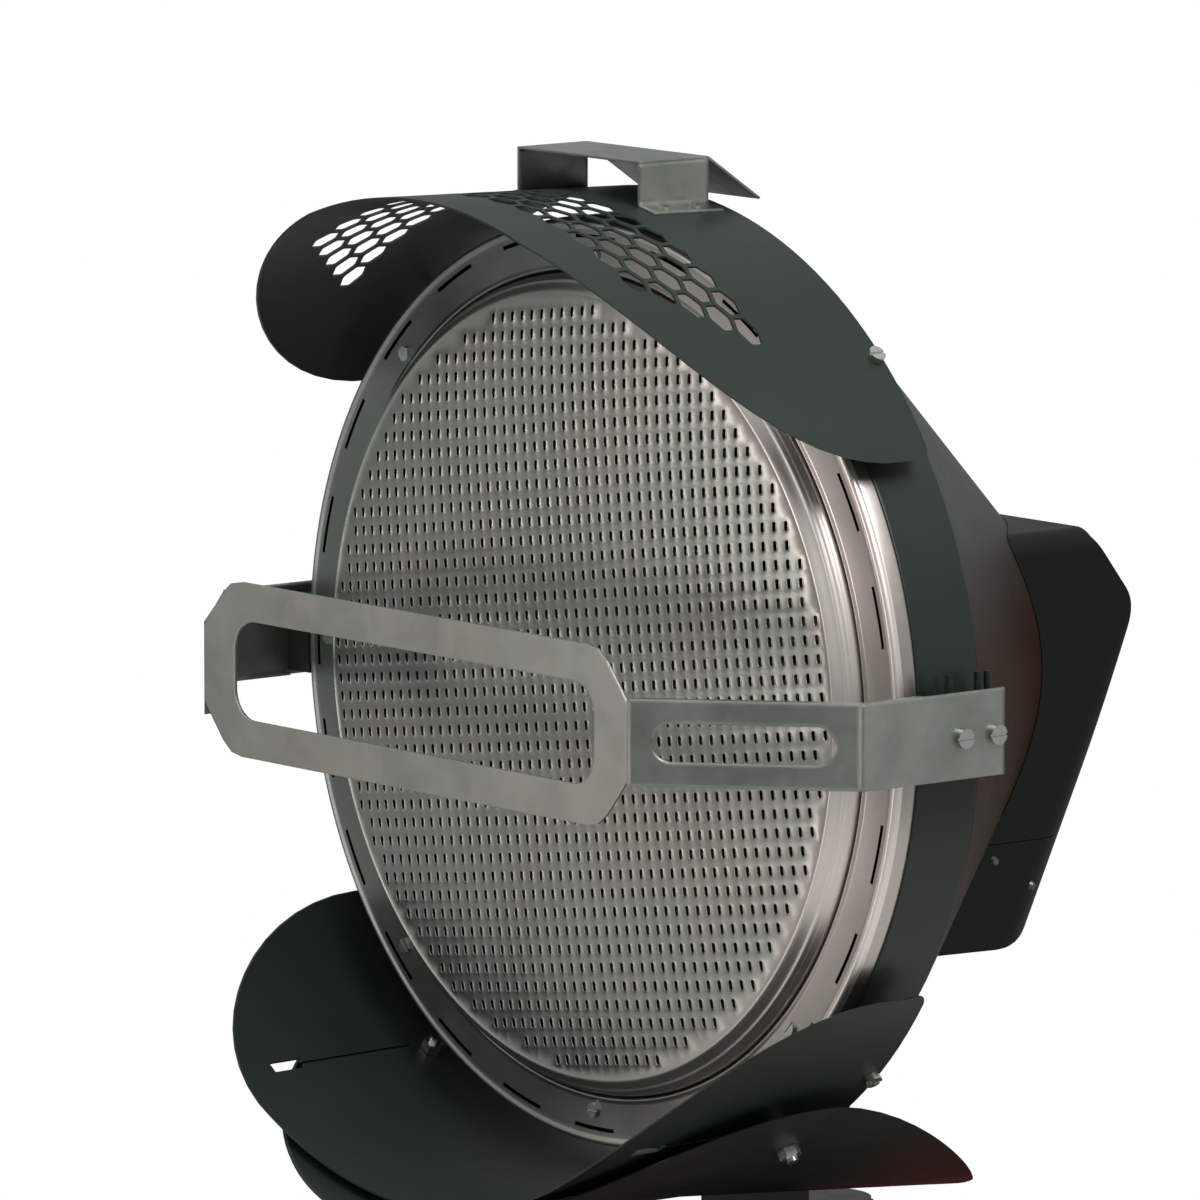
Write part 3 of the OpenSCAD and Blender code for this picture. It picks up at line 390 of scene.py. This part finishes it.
def emitter():
    K, R = 10, 252.0
    pts, edges, rings = [], [], []
    for j in range(-20, 21):
        for i in range(-HALF[abs(j)], HALF[abs(j)] + 1):
            a, b = i * 10.2, j * 12.0
            base = len(pts)
            pts += slot_loop(a, b, 3.0, 4.9, K)
            edges += [(base + k, base + (k + 1) % K) for k in range(K)]
            rings.append((a, b, base))
    first = len(pts)
    S = 288
    pts += [(R * math.cos(2 * math.pi * k / S - ROT), R * math.sin(2 * math.pi * k / S - ROT)) for k in range(S)]
    edges += [(first + k, first + (k + 1) % S) for k in range(S)]
    vco, _, faces, orig, _, _ = delaunay_2d_cdt([Vector(p) for p in pts], edges, [], 1, 1e-4)
    index = {}
    for new, olds in enumerate(orig):
        for old in olds:
            index[old] = new
    c8, s8 = math.cos(ROT), math.sin(ROT)

    def lift(p, h=0.0):
        x, z = p[0] * c8 - p[1] * s8, p[0] * s8 + p[1] * c8
        return W(x, dome(math.hypot(x, z)) - h, z)

    verts = [lift(p) for p in vco]
    out = []
    for f in faces:
        cx = sum(vco[v][0] for v in f) / len(f)
        cy = sum(vco[v][1] for v in f) / len(f)
        j = round(cy / 12.0)
        i = round(cx / 10.2)
        if abs(j) <= 20 and abs(i) <= HALF[abs(j)]:
            dx, dy = abs(cx - i * 10.2), abs(cy - j * 12.0)
            inside = dx < 3.0 and (dy < 1.9 or math.hypot(dx, dy - 1.9) < 3.0 * math.cos(math.pi / K) * 0.99)
            if inside:
                continue
        out.append(tuple(f))
    for a, b, base in rings:
        prev = [index[base + k] for k in range(K)]
        # the rim stands up from the sheet, highest below and to the right, then turns in
        for hw, hh, up, low in ((2.5, 4.2, 0.15, 0.2), (1.95, 3.6, 0.3, 0.38), (1.72, 3.3, 0.12, 0.09), (1.68, 3.25, -0.45, 0.0)):
            cur = []
            for p in slot_loop(a, b, hw, hh, K):
                ax, ay = (p[0] - a) / hw, (p[1] - b) / hh
                h = up + low * (0.35 * ax - 0.65 * ay) if up > 0 else up
                cur.append(len(verts))
                verts.append(lift(p, max(h, 0.05) if up > 0 else h))
            for k in range(K):
                k2 = (k + 1) % K
                out.append((prev[k], prev[k2], cur[k2], cur[k]))
            prev = cur
    # shoulder with fine ridges, turned round the axis, sharing the dome's outer circle
    prof = [(253.0, 10.7), (254.0, 10.5), (255.2, 11.3), (256.6, 12.9), (258.0, 14.5), (259.3, 16.0), (260.2, 16.6), (261.0, 16.7),
            (261.8, 17.4), (262.3, 18.9), (262.9, 19.6), (263.4, 20.0), (263.8, 21.4), (264.3, 22.2), (264.8, 22.9), (265.2, 24.6), (265.4, 27.5), (265.4, 45.0)]
    prev = [index[first + k] for k in range(S)]
    for r, y in prof:
        cur = []
        for k in range(S):
            t = 2 * math.pi * k / S
            cur.append(len(verts))
            verts.append(W(r * math.cos(t), y, r * math.sin(t)))
        for k in range(S):
            k2 = (k + 1) % S
            out.append((prev[k], prev[k2], cur[k2], cur[k]))
        prev = cur
    o = make("emitter_dome", verts, out, M["emitter"], True)
    bm = bmesh.new()
    bm.from_mesh(o.data)
    bmesh.ops.recalc_face_normals(bm, faces=bm.faces)
    bm.to_mesh(o.data)
    bm.free()
    o.data.set_sharp_from_angle(angle=math.radians(60))
    # shoulder ridges get the shoulder steel: painted highlight on the right, painted shade on the left
    band(o, M["shoulder"], 254.2, 265.0)
    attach(o, "head")
    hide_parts("radiant_disc")
    return o


def ring():
    """The slotted ring round the emitter, from the groove at the shoulder to the band under the shroud."""
    prof = [(266.6, 45.0), (266.6, 27.5), (267.0, 26.0), (267.9, 25.2), (268.9, 25.3), (270.0, 26.2), (271.5, 26.4), (287.7, 26.4), (290.3, 26.4), (293.4, 26.4),
            (294.6, 26.1), (295.8, 25.6), (297.0, 25.6), (298.1, 26.2), (298.9, 27.3), (299.2, 28.8), (299.0, 30.0), (299.1, 31.2), (299.5, 32.4), (299.5, 46.0)]
    step = 0.75
    ang = []
    half = math.degrees(19.8 / 289)
    for q in range(24):
        c = q * 15.0
        ang += [c - half, c - half + 0.35]
        ang += [c + t for t in (-2.6, -1.3, 0, 1.3, 2.6)]
        ang += [c + half - 0.35, c + half, c + 5.3, c + 6.6, c + 7.5, c + 8.4, c + 9.7]
    ang = sorted(a % 360 for a in ang)
    verts, faces = [], []
    A, P = len(ang), len(prof)
    for a in ang:
        t = math.radians(a)
        for r, y in prof:
            verts.append(W(r * math.cos(t), y, r * math.sin(t)))
    for k in range(A):
        k2 = (k + 1) % A
        mid = (ang[k] + (ang[k2] - ang[k]) % 360 / 2) % 360
        off = (mid + 7.5) % 15 - 7.5
        for p in range(P - 1):
            if prof[p][0] == 287.7 and prof[p + 1][0] == 290.3 and abs(off) < half:
                continue
            faces.append((k * P + p, k2 * P + p, k2 * P + p + 1, k * P + p + 1))
    # short walls round each slot, with points of their own so that the face round it stays flat
    pi = next(i for i, q in enumerate(prof) if q[0] == 287.7)
    for q in range(24):
        cols = [k for k in range(A) if abs((ang[k] - q * 15.0 + 180) % 360 - 180) < half + 1e-6]
        cols.sort(key=lambda k: (ang[k] - q * 15.0 + 180) % 360)
        loop = [(ang[k], prof[pi]) for k in cols] + [(ang[k], prof[pi + 1]) for k in reversed(cols)]
        base = len(verts)
        for a, (r, y) in loop:
            t = math.radians(a)
            verts.append(W(r * math.cos(t), y, r * math.sin(t)))
            verts.append(W(r * math.cos(t), y + 0.5, r * math.sin(t)))
        n = len(loop)
        for k in range(n):
            k2 = (k + 1) % n
            faces.append((base + 2 * k, base + 2 * k2, base + 2 * k2 + 1, base + 2 * k + 1))
    o = make("slotted_ring", verts, faces, M["ring"], True)
    o.data.set_sharp_from_angle(angle=math.radians(50))
    # outer ridge and band get the shoulder steel: painted highlight on the right, painted shade on the left
    band(o, M["shoulder"], 293.5, 299.2)
    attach(o, "head")
    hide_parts("emitter_ring")
    return o


emitter()
ring()

for n in ("guard_loop", "bridge_plate"):
    edge(N[n], 0.0005, 2, 25)
for n in ("bridge_feet", "guard_mounts", "control_box", "bottom_cover", "burner_housing", "tank_strap", "chassis"):
    edge(N[n], 0.0006, 2, 40)
for n in ("top_hood_bolts", "lower_hood_bolts", "shield_bolts", "guard_bolts", "ring_screws", "bridge_screws"):
    edge(N[n], 0.0007, 3, 40)

# ------------------------------------------------------------------ floor, light and camera
def floor():
    me = bpy.data.meshes.new("floor")
    bm = bmesh.new()
    bmesh.ops.create_circle(bm, cap_ends=True, radius=1.85, segments=128)
    bm.to_mesh(me)
    bm.free()
    o = bpy.data.objects.new("floor", me)
    scene.collection.objects.link(o)
    m = Mat("floor", (0.66, 0.66, 0.65), 0.6, 0.0, 0.3)
    m.color(m.ramp(m.noise(1.5, 2.0), [(0.3, (0.64, 0.64, 0.63)), (0.7, (0.68, 0.68, 0.67))]))
    me.materials.append(m.m)


floor()

wd = bpy.data.worlds.new("studio")
scene.world = wd
wd.use_nodes = True
nt = wd.node_tree
nt.nodes.clear()
out = nt.nodes.new("ShaderNodeOutputWorld")
mix = nt.nodes.new("ShaderNodeMixShader")
lp = nt.nodes.new("ShaderNodeLightPath")
seen = nt.nodes.new("ShaderNodeBackground")
seen.inputs["Color"].default_value = (1, 1, 1, 1)
seen.inputs["Strength"].default_value = 1.0
room = nt.nodes.new("ShaderNodeBackground")
tc = nt.nodes.new("ShaderNodeTexCoord")
sep = nt.nodes.new("ShaderNodeSeparateXYZ")
rmp = nt.nodes.new("ShaderNodeValToRGB")
nt.links.new(tc.outputs["Generated"], sep.inputs[0])
mr = nt.nodes.new("ShaderNodeMapRange")
mr.inputs["From Min"].default_value = -0.6
mr.inputs["From Max"].default_value = 1.0
nt.links.new(sep.outputs["Z"], mr.inputs["Value"])
nt.links.new(mr.outputs["Result"], rmp.inputs["Fac"])
rmp.color_ramp.elements[0].color = (0.15, 0.15, 0.142, 1)
rmp.color_ramp.elements[1].color = (0.5, 0.52, 0.5, 1)
nt.links.new(rmp.outputs["Color"], room.inputs["Color"])
room.inputs["Strength"].default_value = 1.0
nt.links.new(lp.outputs["Is Camera Ray"], mix.inputs["Fac"])
nt.links.new(room.outputs[0], mix.inputs[1])
nt.links.new(seen.outputs[0], mix.inputs[2])
nt.links.new(mix.outputs[0], out.inputs["Surface"])


def area(name, loc, at, size, power, color=(1, 1, 1)):
    d = bpy.data.lights.new(name, "AREA")
    d.shape = "RECTANGLE"
    d.size, d.size_y = size
    d.energy = power
    d.color = color
    o = bpy.data.objects.new(name, d)
    scene.collection.objects.link(o)
    o.location = loc
    o.rotation_euler = (Vector(at) - Vector(loc)).to_track_quat("-Z", "Y").to_euler()
    o.visible_camera = False
    return o


aim = (0, 0, 0.76)
area("key_right", (2.0, 0.1, 3.2), aim, (1.4, 1.8), 62, (1.0, 0.98, 0.96))
area("top", (-0.3, -0.6, 3.4), aim, (2.4, 2.4), 15)
area("front", (-1.35, -3.4, 0.8), aim, (0.8, 1.8), 19, (1.0, 0.91, 0.88))
area("right_card", (2.6, 2.1, 0.5), aim, (1.2, 1.6), 2.2, (1.0, 0.95, 0.93))
area("rim_back", (-2.1, 2.8, 1.1), (0, 0.15, 0.85), (1.7, 1.5), 0.7)

cam = bpy.data.cameras.new("camera")
cam.sensor_width = 36
cam.lens = 36 * 11233 / 1200
cam.clip_start, cam.clip_end = 0.5, 60
co = bpy.data.objects.new("camera", cam)
scene.collection.objects.link(co)
fwd = Vector((-0.7674, 0.6256, -0.1404)).normalized()
up = Vector((-0.1096, 0.0877, 0.9901))
right = fwd.cross(up).normalized()
up = right.cross(fwd).normalized()
rot = Matrix((right, up, -fwd)).transposed().to_4x4()
co.matrix_world = Matrix.Translation(W(460.47 * 12, -372.83 * 12, 88.80 * 12)) @ rot
scene.camera = co
